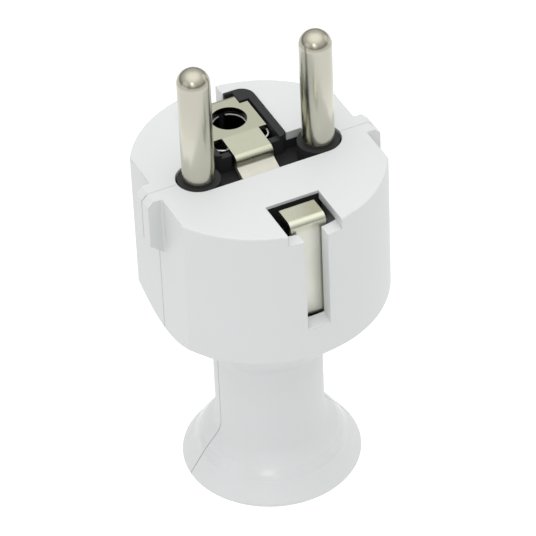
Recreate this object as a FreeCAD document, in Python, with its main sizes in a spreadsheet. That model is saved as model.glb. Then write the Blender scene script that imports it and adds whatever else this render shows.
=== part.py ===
import FreeCAD, Part
import math
import os
from types import SimpleNamespace

import Sketcher

# Rewirable earthed plug with a pull grip. It stands on its foot, pins up, in millimetres.
# X runs along the line of the two pins, the earth hole lies towards +Y, and the origin is the
# middle of the foot's underside. The two half-shells part on the plane through both pins.

# Driving dimensions: name, size in millimetres, what it measures
DIMENSIONS = [
    ("pin_spacing", 19.0, "between the axes of the two pins"),
    ("pin_dia", 4.8, "diameter of a pin"),
    ("pin_length", 19.0, "height of a pin above the engagement face"),
    ("tip_flat", 0.3, "flat left at the middle of a pin's dome"),
    ("shank_dia", 4.2, "pin's diameter inside its collar"),
    ("root_dia", 4.5, "pin's diameter where it stands on its collar"),
    ("root_rise", 0.05, "pin's full diameter starts this far above the frame"),
    ("pillar_dia", 6.0, "diameter of a pin's terminal pillar"),
    ("pillar_length", 9.9, "length of a pin's terminal pillar"),
    ("wire_bore_dia", 3.2, "bore for the wire in a pillar"),
    ("wire_bore_depth", 8.0, "depth of the bore for the wire"),
    ("terminal_depth", 11.0, "live terminal screws below the engagement face"),
    ("body_height", 55.95, "foot's underside to the engagement face"),
    ("body_dia", 37.1, "diameter of the round body"),
    ("flats_width", 32.5, "width across the two side flats"),
    ("top_edge_round", 0.25, "round on the engagement face's rim"),
    ("tab_width", 4.2, "width of the rib on each flat"),
    ("tab_inset", 0.05, "rib's end inside the round of the body"),
    ("tab_depth", 7.75, "straight end of the rib below the engagement face"),
    ("tab_runout", 1.85, "slope from the rib's end back to the flat"),
    ("tab_chamfer", 0.95, "chamfer on the rib's upper edge"),
    ("tab_root_round", 0.25, "round between the rib and the flat"),
    ("body_depth", 23.0, "engagement face to the body's lower corner"),
    ("underside_drop", 10.9, "fall of the underside towards the neck"),
    ("rim_round", 0.4, "round on the body's lower corner"),
    ("neck_dia", 16.4, "diameter of the neck"),
    ("neck_round", 3.0, "round between the underside and the neck"),
    ("flare_height", 7.6, "height at which the neck starts to flare"),
    ("flare_round", 3.6, "round at the start of the flare"),
    ("foot_break_dia", 22.2, "diameter at the foot's shoulder"),
    ("foot_break_height", 4.2, "height of the foot's shoulder"),
    ("foot_break_round", 1.0, "round on the foot's shoulder"),
    ("foot_dia", 27.9, "diameter of the foot at its corner"),
    ("foot_edge_round", 0.4, "round on the foot's lower edge"),
    ("side_wall", 2.15, "thickness of the shells' side walls"),
    ("top_wall", 1.4, "thickness of the shells' top wall"),
    ("bottom_wall", 2.2, "thickness of the underside, measured upright"),
    ("cord_bore_dia", 9.0, "bore for the cord through neck and foot"),
    ("cord_mouth", 1.0, "chamfer at the mouth of the cord bore"),
    ("recess_width", 6.8, "width of the recess round the pins"),
    ("well_depth", 3.0, "floor of the recess below the engagement face"),
    ("collar_dia", 6.3, "collar round a pin"),
    ("collar_drop", 0.25, "collar's top below the engagement face"),
    ("carrier_length", 27.6, "length of the carrier's plate"),
    ("carrier_width", 12.0, "width of the carrier's plate"),
    ("carrier_depth", 5.6, "underside of the carrier's plate below the engagement face"),
    ("carrier_round", 2.5, "corner round of the carrier's plate"),
    ("pin_fit", 0.04, "collar's hole larger than the pin in it"),
    ("frame_width", 11.7, "width of the frame round the earth hole"),
    ("frame_ahead", 7.4, "front of the frame ahead of the earth hole's axis"),
    ("frame_behind", 5.8, "rear of the frame behind the earth hole's axis"),
    ("frame_round", 2.1, "rear corner round of the frame"),
    ("frame_front_round", 1.2, "front corner round of the frame"),
    ("frame_proud", 0.3, "frame's top above the engagement face"),
    ("frame_fit", 0.15, "gap between the frame and the shell"),
    ("pocket_width", 9.3, "width of the pocket in the frame"),
    ("pocket_ahead", 6.3, "front of the pocket ahead of the earth hole's axis"),
    ("pocket_depth", 4.4, "floor of the pocket below the engagement face"),
    ("front_wall_drop", 0.3, "wall in front of the pocket below the engagement face"),
    ("apron_thickness", 0.75, "wall of the carrier behind the front opening"),
    ("apron_depth", 9.0, "that wall's lower end below the engagement face"),
    ("earth_inset", 6.4, "earth hole's axis from the inside of the rear wall"),
    ("earth_hole_dia", 5.3, "diameter of the earth hole"),
    ("sleeve_dia", 7.8, "outside of the sleeve below the earth hole"),
    ("sleeve_depth", 16.0, "sleeve's end below the engagement face"),
    ("sleeve_floor", 1.0, "floor that closes the sleeve"),
    ("strap_thickness", 0.8, "thickness of the earth strap"),
    ("strap_proud", 0.3, "strap's top above the engagement face"),
    ("strap_width", 5.85, "strap's width at the front"),
    ("strap_wide", 8.4, "strap's width round the earth hole"),
    ("strap_rear_width", 5.9, "strap's width at the rear contact"),
    ("strap_wide_ahead", 3.85, "wide stretch ahead of the earth hole's axis"),
    ("strap_wide_behind", 2.5, "wide stretch behind the earth hole's axis"),
    ("strap_behind", 5.25, "strap's rear face behind the earth hole's axis"),
    ("strap_fit", 0.1, "gap beside the strap in the carrier"),
    ("strap_step_ahead", 7.95, "rear face of the strap's step ahead of the earth hole's axis"),
    ("strap_fall", 0.3, "strap's top falls by this much from the wide stretch to the step"),
    ("step_bend", 0.5, "bend at the top of the step at the strap's middle layer"),
    ("step_drop", 1.6, "strap's run at the step below the engagement face"),
    ("run_bend", 0.9, "bend at the foot of the step at the strap's middle layer"),
    ("run_drop", 3.4, "low end of the strap's run below the engagement face"),
    ("run_end", 3.6, "low end of the strap's run from the pin line"),
    ("strap_leg", 8.4, "rear face of the strap's front leg from the pin line"),
    ("strap_leg_depth", 16.2, "end of the strap's front leg below the engagement face"),
    ("strap_bend", 0.8, "bend radius at the strap's middle layer"),
    ("contact_bow", 0.55, "rear contact bows out by this much"),
    ("contact_start", 6.4, "bow starts this far below the engagement face"),
    ("contact_full", 9.0, "bow is full this far below the engagement face"),
    ("contact_end", 14.6, "rear contact ends this far below the engagement face"),
    ("clip_width", 5.5, "width of the front earth clip"),
    ("clip_thickness", 0.6, "thickness of the front earth clip"),
    ("clip_clear", 0.45, "clip's face inside the shell's wall"),
    ("head_drop", 0.15, "clip's head below the engagement face"),
    ("head_length", 3.75, "clip's head from its face inwards"),
    ("head_bend", 0.75, "bend of the clip's head at its middle layer"),
    ("clip_depth", 18.1, "clip's lowest face below the engagement face"),
    ("clip_foot_top", 10.2, "clip's inner end below the engagement face"),
    ("opening_width", 8.3, "width of the front opening in the engagement face"),
    ("opening_rear", 10.7, "rear edge of the front opening from the pin line"),
    ("lip_thickness", 0.5, "top wall left at the edge of the front opening"),
    ("rebate", 0.5, "hollow under that lip, beside the opening"),
    ("rebate_reach", 1.0, "hollow under that lip, behind the opening"),
    ("ledge_drop", 1.7, "front wall's top below the engagement face"),
    ("slot_width", 3.6, "width of the slots for the earth contacts"),
    ("slot_depth", 17.9, "slots' lower end below the engagement face, outside"),
    ("slot_rise", 0.6, "slots' lower end rises inwards by this much"),
    ("spring_thickness", 0.3, "thickness of the earth pin spring"),
    ("spring_drop", 0.8, "spring's top below the engagement face"),
    ("spring_bore", 4.85, "inside of the spring's loop"),
    ("spring_gap", 1.0, "gap between the spring's ends"),
    ("spring_width", 9.0, "width across the spring's front"),
    ("spring_ahead", 5.35, "spring's front face ahead of the earth hole's axis"),
    ("spring_round", 1.5, "corner round of the spring's front"),
    ("spring_neck", 1.1, "loop's end in front of the earth hole's axis"),
    ("spring_flare", 2.7, "spring's full width in front of the earth hole's axis"),
    ("screw_dia", 2.9, "shank of the housing and clamp screws"),
    ("screw_head_dia", 4.8, "head of the housing and clamp screws"),
    ("screw_head_height", 1.8, "height of those heads"),
    ("screw_fit", 0.04, "threaded hole larger than its screw"),
    ("screw_clear", 0.4, "clearance hole or counterbore larger than its screw"),
    ("drive_width", 0.8, "width of a screw's cross recess"),
    ("drive_span", 2.6, "span of a screw's cross recess"),
    ("drive_depth", 0.9, "depth of a screw's cross recess"),
    ("boss_dia", 5.8, "diameter of the housing screws' bosses"),
    ("housing_screw_spacing", 22.0, "between the two housing screws"),
    ("housing_screw_depth", 19.5, "housing screws below the engagement face"),
    ("housing_seat", 8.0, "seat of the housing screws from the parting plane"),
    ("housing_screw_length", 15.0, "shank length of the housing screws"),
    ("insert_dia", 4.4, "outside of the threaded inserts for the housing screws"),
    ("insert_length", 5.0, "length of the threaded inserts"),
    ("peg_dia", 2.8, "locating pegs in the foot"),
    ("peg_spacing", 14.6, "between the two locating pegs"),
    ("peg_height", 3.6, "height of the locating pegs"),
    ("peg_length", 2.5, "locating pegs stand out of the parting plane"),
    ("peg_fit", 0.2, "peg's hole larger and deeper than the peg"),
    ("terminal_screw_dia", 3.0, "shank of the live terminal screws"),
    ("terminal_screw_head", 4.4, "head of the live terminal screws"),
    ("terminal_screw_length", 2.4, "shank length of the live terminal screws"),
    ("earth_screw_dia", 3.5, "shank of the earth terminal screw"),
    ("earth_screw_head", 6.0, "head of the earth terminal screw"),
    ("earth_terminal_depth", 13.2, "earth terminal below the engagement face"),
    ("washer_width", 7.5, "side of the square clamp washer"),
    ("washer_thickness", 1.0, "thickness of the clamp washer"),
    ("nut_width", 5.2, "side of the square earth nut"),
    ("nut_thickness", 2.4, "thickness of the earth nut"),
    ("clamp_arch", 3.2, "half width of the cord clamp's arch"),
    ("clamp_thickness", 1.4, "thickness of the cord clamp"),
    ("clamp_width", 4.4, "cord clamp's width along the cord"),
    ("clamp_wing", 9.2, "cord clamp's half length"),
    ("clamp_screw_spacing", 14.4, "between the two clamp screws"),
    ("clamp_depth", 24.2, "cord clamp below the engagement face"),
    ("clamp_screw_length", 8.0, "shank length of the clamp screws"),
    ("post_dia", 4.4, "diameter of the cord clamp's posts"),
    ("shelf_reach", 1.2, "carrier's shelf stands out from the side wall"),
    ("shelf_thickness", 1.6, "thickness of the carrier's shelf"),
    ("rib_thickness", 1.6, "thickness of the ribs under the carrier"),
    ("rib_depth", 2.8, "height of the ribs under the carrier"),
    ("rib_overlap", 1.5, "ribs reach under the carrier by this much"),
    ("front_rib_place", 6.0, "front ribs from the middle"),
    ("rear_rib_place", 8.0, "rear ribs from the middle"),
]

# Cutting tools reach this far past the faces that they open
OVERRUN = 1.0

# Rotations from the drawing plane to the model: drawing x and y, then the normal
PLANES = {
    "XY": FreeCAD.Rotation(),
    "XZ": FreeCAD.Rotation(FreeCAD.Vector(1, 0, 0), 90),
    "YZ": FreeCAD.Rotation(FreeCAD.Vector(1, 1, 1), 120),
}
PLANE_AXES = {"XY": "z", "XZ": "y", "YZ": "x"}
DIRECTIONS = {
    "x": FreeCAD.Vector(1, 0, 0),
    "y": FreeCAD.Vector(0, 1, 0),
    "z": FreeCAD.Vector(0, 0, 1),
}
UP_TO_REAR = FreeCAD.Rotation(FreeCAD.Vector(1, 0, 0), -90)

doc = FreeCAD.newDocument("earthed_plug")
sheet = doc.addObject("Spreadsheet::Sheet", "dims")


class Size:
    """A length with its number and the expression that binds it to the sheet."""

    def __init__(self, value, text):
        self.value = value
        self.text = text

    def __add__(self, other):
        other = as_size(other)
        return Size(self.value + other.value, f"({self.text} + {other.text})")

    def __radd__(self, other):
        return as_size(other) + self

    def __sub__(self, other):
        other = as_size(other)
        return Size(self.value - other.value, f"({self.text} - {other.text})")

    def __rsub__(self, other):
        return as_size(other) - self

    def __mul__(self, other):
        other = as_size(other)
        return Size(self.value * other.value, f"({self.text} * {other.text})")

    def __rmul__(self, other):
        return as_size(other) * self

    def __truediv__(self, other):
        other = as_size(other)
        return Size(self.value / other.value, f"({self.text} / {other.text})")

    def __neg__(self):
        return Size(-self.value, f"(-1 * {self.text})")


def as_size(number):
    return number if isinstance(number, Size) else Size(float(number), f"{number}")


def fill_sheet():
    """Write the driving dimensions to the sheet and return them as bound sizes."""
    sizes = {}
    for row, (name, value, note) in enumerate(DIMENSIONS, start=1):
        sheet.set(f"A{row}", name)
        sheet.set(f"B{row}", str(value))
        sheet.setAlias(f"B{row}", name)
        sheet.set(f"C{row}", note)
        sizes[name] = name
    doc.recompute()
    for name in sizes:
        sizes[name] = Size(float(sheet.get(name)), f"dims.{name}")
    return SimpleNamespace(**sizes)


d = fill_sheet()


def bind(thing, prop, length):
    thing.setExpression(prop, as_size(length).text)


def place(thing, x=0, y=0, z=0, rotation=None):
    """Put an object at a bound place."""
    numbers = [as_size(c).value for c in (x, y, z)]
    thing.Placement = FreeCAD.Placement(FreeCAD.Vector(*numbers), rotation or FreeCAD.Rotation())
    for axis, length in zip("xyz", (x, y, z)):
        bind(thing, f"Placement.Base.{axis}", length)


def hold(sketch, line, end, name, x, y):
    """Bind one point of a drawing to its two coordinates."""
    for kind, letter, length in (("DistanceX", "x", x), ("DistanceY", "y", y)):
        length = as_size(length)
        number = sketch.addConstraint(Sketcher.Constraint(kind, -1, 1, line, end, length.value))
        sketch.renameConstraint(number, f"{letter}_{name}")
        sketch.setExpression(f"Constraints.{letter}_{name}", length.text)


def rounded_corner(before, corner, after, radius):
    """Ends of the two runs, and the arc between them, at a rounded corner."""
    come = (corner - before).normalize()
    go = (after - corner).normalize()
    turn = math.atan2(come.x * go.y - come.y * go.x, come.dot(go))
    trim = radius * math.tan(abs(turn) / 2)
    first = corner - come * trim
    last = corner + go * trim
    side = math.copysign(1.0, turn)
    centre = first + FreeCAD.Vector(-come.y, come.x, 0) * radius * side
    ends = (first, last) if side > 0 else (last, first)
    angles = [math.atan2(p.y - centre.y, p.x - centre.x) for p in ends]
    if angles[1] < angles[0]:
        angles[1] += 2 * math.pi
    circle = Part.Circle(centre, FreeCAD.Vector(0, 0, 1), radius)
    return first, last, Part.ArcOfCircle(circle, *angles), side > 0


def draw(sketch, corners, closed=True):
    """Straight runs between bound corners (x, y) or (x, y, round)."""
    points = [FreeCAD.Vector(as_size(c[0]).value, as_size(c[1]).value, 0) for c in corners]
    count = len(points)
    starts = list(points)
    ends = list(points)
    arcs = {}
    for i, corner in enumerate(corners):
        if len(corner) > 2:
            near = (points[i - 1], points[i], points[(i + 1) % count])
            ends[i], starts[i], arc, left = rounded_corner(*near, as_size(corner[2]).value)
            arcs[i] = (arc, left)
    runs = count if closed else count - 1
    for i in range(runs):
        sketch.addGeometry(Part.LineSegment(starts[i], ends[(i + 1) % count]), False)
    for i, corner in enumerate(corners):
        before = (i - 1) % count if closed else i - 1
        if i not in arcs:
            if closed or 0 < i < count - 1:
                sketch.addConstraint(Sketcher.Constraint("Coincident", before, 2, i, 1))
            last = not closed and i == count - 1
            hold(sketch, before if last else i, 2 if last else 1, f"{i}", corner[0], corner[1])
            continue
        arc, left = arcs[i]
        bend = sketch.addGeometry(arc, False)
        into, out = (1, 2) if left else (2, 1)
        sketch.addConstraint(Sketcher.Constraint("Tangent", before, 2, bend, into))
        sketch.addConstraint(Sketcher.Constraint("Tangent", bend, out, i, 1))
        radius = as_size(corner[2])
        number = sketch.addConstraint(Sketcher.Constraint("Radius", bend, radius.value))
        sketch.renameConstraint(number, f"round_{i}")
        sketch.setExpression(f"Constraints.round_{i}", radius.text)
        apex = sketch.addGeometry(Part.Point(points[i]), True)
        sketch.addConstraint(Sketcher.Constraint("PointOnObject", apex, 1, before))
        sketch.addConstraint(Sketcher.Constraint("PointOnObject", apex, 1, i))
        hold(sketch, apex, 1, f"{i}", corner[0], corner[1])


def drawing(name, plane, corners, level=0, closed=True):
    """A drawing on a plane, at a bound level along the plane's axis."""
    sketch = doc.addObject("Sketcher::SketchObject", f"{name}_drawing")
    place(sketch, rotation=PLANES[plane], **{PLANE_AXES[plane]: level})
    draw(sketch, corners, closed)
    return sketch


def extrude(name, source, plane, length):
    solid = doc.addObject("Part::Extrusion", name)
    solid.Base = source
    solid.DirMode = "Custom"
    solid.Dir = DIRECTIONS[PLANE_AXES[plane]]
    solid.Solid = True
    bind(solid, "LengthFwd", length)
    return solid


def prism(name, plane, corners, low, high):
    """An outline drawn on a plane and carried from one level to another."""
    return extrude(name, drawing(name, plane, corners, low), plane, as_size(high) - low)


def folded(name, plane, path, thickness, low, high):
    """A strip of even thickness folded along a path and carried across its width."""
    skin = doc.addObject("Part::Offset2D", f"{name}_section")
    skin.Source = drawing(name, plane, path, low, closed=False)
    skin.Mode = "Pipe"
    bind(skin, "Value", thickness / 2)
    return extrude(name, skin, plane, as_size(high) - low)


def revolved(name, corners):
    """A profile drawn beside the Z axis and turned about it."""
    solid = doc.addObject("Part::Revolution", name)
    solid.Source = drawing(name, "XZ", corners)
    solid.Axis = FreeCAD.Vector(0, 0, 1)
    solid.Angle = 360
    solid.Solid = True
    return solid


def box(name, x, y, z):
    """A block between bound limits in x, y and z."""
    solid = doc.addObject("Part::Box", name)
    for prop, (low, high) in (("Length", x), ("Width", y), ("Height", z)):
        bind(solid, prop, as_size(high) - low)
    place(solid, x[0], y[0], z[0])
    return solid


def rod(name, diameter, x, y, z):
    """A round bar along the axis that is given as a pair of limits."""
    solid = doc.addObject("Part::Cylinder", name)
    bind(solid, "Radius", diameter / 2)
    along_rear = isinstance(y, tuple)
    low, high = y if along_rear else z
    bind(solid, "Height", as_size(high) - low)
    if along_rear:
        place(solid, x, low, z, UP_TO_REAR)
    else:
        place(solid, x, y, low)
    return solid


def fuse(name, solids):
    joined = doc.addObject("Part::MultiFuse", name)
    joined.Shapes = solids
    joined.Refine = True
    return joined


def common(name, solids):
    shared = doc.addObject("Part::MultiCommon", name)
    shared.Shapes = solids
    shared.Refine = True
    return shared


def cut(name, base, tools):
    result = doc.addObject("Part::Cut", name)
    result.Base = base
    result.Tool = tools[0] if len(tools) == 1 else fuse(f"{name}_cutters", tools)
    result.Refine = True
    return result


def mirrored_pair(make, offset):
    """The same feature on the left and on the right."""
    return [make("left", -offset), make("right", as_size(offset))]


def stadium(name, width, spacing, low, high):
    """A slot with round ends centred on the two pins."""
    ends = mirrored_pair(lambda side, x: rod(f"{name}_{side}", width, x, 0, (low, high)), spacing / 2)
    middle = box(f"{name}_middle", (-spacing / 2, spacing / 2), (-width / 2, width / 2), (low, high))
    return fuse(name, [middle] + ends)


def attached_sketch(body, name, role):
    sketch = body.newObject("Sketcher::SketchObject", name)
    plane = next(p for p in body.Origin.OriginFeatures if p.Role == role)
    sketch.AttachmentSupport = [(plane, "")]
    sketch.MapMode = "FlatFace"
    return sketch


def turned_body(name, corners):
    """A turned piece: its profile beside the Z axis, revolved once."""
    body = doc.addObject("PartDesign::Body", name)
    profile = attached_sketch(body, f"{name}_profile", "XZ_Plane")
    draw(profile, corners)
    turn = body.newObject("PartDesign::Revolution", f"{name}_turn")
    turn.Profile = profile
    turn.ReferenceAxis = (profile, ["V_Axis"])
    turn.Angle = 360
    return body


def screw(name, x, seat, z, shank, length, head):
    """A pan head screw with a cross recess. Its head sits on a seat and faces the rear."""
    body = turned_body(name, [
        (0, -length),
        (shank / 2, -length),
        (shank / 2, 0),
        (head / 2, 0),
        (head / 2, d.screw_head_height, d.screw_head_height / 2),
        (0, d.screw_head_height),
    ])
    arm = d.drive_width / 2
    reach = d.drive_span / 2
    cross = attached_sketch(body, f"{name}_drive", "XY_Plane")
    bind(cross, "AttachmentOffset.Base.z", d.screw_head_height)
    draw(cross, [
        (arm, arm), (arm, reach), (-arm, reach), (-arm, arm), (-reach, arm), (-reach, -arm),
        (-arm, -arm), (-arm, -reach), (arm, -reach), (arm, -arm), (reach, -arm), (reach, arm),
    ])
    recess = body.newObject("PartDesign::Pocket", f"{name}_recess")
    recess.Profile = cross
    bind(recess, "Length", d.drive_depth)
    place(body, x, seat, z, UP_TO_REAR)
    return body


# Levels and places that several pieces share
top = d.body_height
body_radius = d.body_dia / 2
neck_radius = d.neck_dia / 2
flat = d.flats_width / 2
inner_radius = body_radius - d.side_wall
inner_flat = flat - d.side_wall
tab_end = body_radius - d.tab_inset
cord_radius = d.cord_bore_dia / 2
underside = top - d.body_depth
slope = d.underside_drop / (body_radius - neck_radius)
pin_x = d.pin_spacing / 2
pin_radius = d.pin_dia / 2
pillar_radius = d.pillar_dia / 2
carrier_top = top - d.top_wall
carrier_bottom = top - d.carrier_depth
well_floor = top - d.well_depth
collar_top = top - d.collar_drop
pocket_floor = top - d.pocket_depth
earth_y = inner_radius - d.earth_inset
frame_front = earth_y - d.frame_ahead
frame_rear = earth_y + d.frame_behind
strap_wide_rear = earth_y + d.strap_wide_behind
strap_rear = earth_y + d.strap_behind
pocket_front = earth_y - d.pocket_ahead
pocket_rear = earth_y + d.spring_bore / 2 + d.spring_thickness + 3 * d.strap_fit
frame_top = top + d.frame_proud
frame_half = d.frame_width / 2
strap_half = d.strap_thickness / 2
clip_half = d.clip_thickness / 2
strap_top = top + d.strap_proud
strap_under = strap_top - d.strap_thickness
slot_half = d.slot_width / 2
rebate_half = d.opening_width / 2 + d.rebate
leg_front = d.strap_leg + d.strap_thickness
clip_face = inner_radius - d.clip_clear
terminal_z = top - d.terminal_depth
earth_z = top - d.earth_terminal_depth
housing_x = d.housing_screw_spacing / 2
housing_z = top - d.housing_screw_depth
peg_x = d.peg_spacing / 2
clamp_x = d.clamp_screw_spacing / 2
clamp_z = top - d.clamp_depth
above = top + d.frame_proud + OVERRUN


def shell_outside():
    """The whole body, neck and foot, with the flats and the ribs on them."""
    body = revolved("outside_round", [
        (0, 0),
        (d.foot_dia / 2, 0, d.foot_edge_round),
        (d.foot_break_dia / 2, d.foot_break_height, d.foot_break_round),
        (neck_radius, d.flare_height, d.flare_round),
        (neck_radius, underside - d.underside_drop, d.neck_round),
        (body_radius, underside, d.rim_round),
        (body_radius, top, d.top_edge_round),
        (0, top),
    ])
    rib = d.tab_width / 2
    far = d.body_dia
    plan = prism("outside_plan", "XY", [
        (flat, -far), (flat, -rib, d.tab_root_round), (tab_end, -rib),
        (tab_end, rib), (flat, rib, d.tab_root_round), (flat, far),
        (-flat, far), (-flat, rib, d.tab_root_round), (-tab_end, rib),
        (-tab_end, -rib), (-flat, -rib, d.tab_root_round), (-flat, -far),
    ], -OVERRUN, top + OVERRUN)
    chamfer = d.tab_chamfer + OVERRUN
    runout = top - d.tab_depth - d.tab_runout
    side = prism("outside_side", "XZ", [
        (-flat, -OVERRUN), (flat, -OVERRUN), (flat, runout), (tab_end, top - d.tab_depth),
        (tab_end, top - d.tab_chamfer), (tab_end - chamfer, top + OVERRUN),
        (chamfer - tab_end, top + OVERRUN), (-tab_end, top - d.tab_chamfer),
        (-tab_end, top - d.tab_depth), (-flat, runout),
    ], -far, far)
    return common("outside", [body, plan, side])


def shell_inside():
    """The hollow under the top wall, the funnel and the bore for the cord."""
    hollow = revolved("inside_round", [
        (0, -OVERRUN),
        (cord_radius + d.cord_mouth + OVERRUN, -OVERRUN),
        (cord_radius, d.cord_mouth),
        (cord_radius, underside + d.bottom_wall - slope * (body_radius - cord_radius)),
        (inner_radius, underside + d.bottom_wall - slope * d.side_wall),
        (inner_radius, carrier_top),
        (0, carrier_top),
    ])
    between = box("inside_flats", (-inner_flat, inner_flat), (-d.body_dia, d.body_dia),
                  (-2 * OVERRUN, top))
    return common("inside", [hollow, between])


def shelf(name, side, y):
    """The ledge on a side wall that the carrier's end stands on."""
    limits = (-flat, d.shelf_reach - inner_flat) if side == "left" else (inner_flat - d.shelf_reach, flat)
    return box(f"{name}_{side}_shelf", limits, y, (carrier_bottom - d.shelf_thickness, carrier_bottom))


def rib(name, side, x, y):
    """An upright rib on the round wall that reaches under the carrier."""
    half = d.rib_thickness / 2
    return box(f"{name}_{side}_rib", (x - half, x + half), y, (carrier_bottom - d.rib_depth, carrier_bottom))


def boss_pair(name, diameter, x, y, z):
    return mirrored_pair(lambda side, at: rod(f"{name}_{side}", diameter, at, y, z), x)


def contact_slot(name, sign):
    """The slot for an earth contact, through the wall on one side. Its floor rises inwards."""
    low = top - d.slot_depth
    far = sign * d.body_dia
    return prism(name, "YZ", [
        (far, above), (far, low), (sign * body_radius, low), (sign * inner_radius, low + d.slot_rise),
        (sign * (inner_radius - OVERRUN), low + d.slot_rise), (sign * (inner_radius - OVERRUN), above),
    ], -slot_half, slot_half)


def front_half(outside, hollow_shell):
    """The half with the opening and slot for the front clip, and the screws' threads."""
    far = d.body_dia
    half = common("front_blank", [hollow_shell, box("front_side", (-far, far), (-far, 0),
                                                    (-OVERRUN, top + OVERRUN))])
    reach = (-body_radius, 0)
    under = (-body_radius, d.rib_overlap - d.carrier_width / 2)
    features = boss_pair("front_boss", d.boss_dia, housing_x, reach, housing_z)
    features += boss_pair("clamp_post", d.post_dia, clamp_x, reach, clamp_z)
    features += [shelf("front", side, (-d.carrier_width / 2, 0)) for side in ("left", "right")]
    features += mirrored_pair(lambda side, x: rib("front", side, x, under), d.front_rib_place)
    features += boss_pair("foot_peg", d.peg_dia, peg_x, (-OVERRUN, d.peg_length), d.peg_height)
    inner = common("front_inner", [fuse("front_features", features), outside])
    thread = d.screw_dia + d.screw_fit
    opening = d.opening_width / 2
    cutters = [
        stadium("front_recess", d.recess_width, d.pin_spacing, carrier_top - OVERRUN, above),
        box("front_opening", (-opening, opening), (-far, -d.opening_rear), (top - d.ledge_drop, above)),
        box("front_rebate", (-rebate_half, rebate_half),
            (-d.opening_rear - d.strap_fit, d.rebate_reach - d.opening_rear),
            (carrier_top - OVERRUN, top - d.lip_thickness)),
        contact_slot("front_slot", -1),
    ]
    cutters += boss_pair("insert_hole", d.insert_dia + d.screw_fit, housing_x, (-d.insert_length, OVERRUN),
                         housing_z)
    for name, x, z, seat, length in SHELL_SCREWS:
        cutters += boss_pair(f"{name}_thread", thread, x, (seat - length - OVERRUN, OVERRUN), z)
    return cut("front_shell", fuse("front_solid", [half, inner]), cutters)


def rear_half(outside, hollow_shell):
    """The half with the opening for the earth frame and the seats of the screws."""
    far = d.body_dia
    half = common("rear_blank", [hollow_shell, box("rear_side", (-far, far), (0, far),
                                                   (-OVERRUN, top + OVERRUN))])
    reach = (0, body_radius)
    under = (d.carrier_width / 2 - d.rib_overlap, body_radius)
    features = boss_pair("rear_boss", d.boss_dia, housing_x, reach, housing_z)
    features += [shelf("rear", side, (0, d.carrier_width / 2)) for side in ("left", "right")]
    features += mirrored_pair(lambda side, x: rib("rear", side, x, under), d.rear_rib_place)
    inner = common("rear_inner", [fuse("rear_features", features), outside])
    wide = frame_half + d.frame_fit
    back = frame_rear + d.frame_fit
    round_fit = d.frame_round + d.frame_fit
    cutters = [
        stadium("rear_recess", d.recess_width, d.pin_spacing, carrier_top - OVERRUN, above),
        prism("frame_opening", "XY", [
            (-wide, 0), (wide, 0), (wide, back, round_fit), (-wide, back, round_fit),
        ], carrier_top - OVERRUN, above),
        contact_slot("rear_slot", 1),
    ]
    cutters += boss_pair("peg_hole", d.peg_dia + d.peg_fit, peg_x, (-OVERRUN, d.peg_length + d.peg_fit),
                         d.peg_height)
    clear = d.screw_dia + d.screw_clear
    well = d.screw_head_dia + d.screw_clear
    for name, x, z, seat, _ in SHELL_SCREWS[:1]:
        cutters += boss_pair(f"{name}_clear", clear, x, (-OVERRUN, seat + OVERRUN), z)
        cutters += boss_pair(f"{name}_well", well, x, (seat, far), z)
    return cut("rear_shell", fuse("rear_solid", [half, inner]), cutters)


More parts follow.
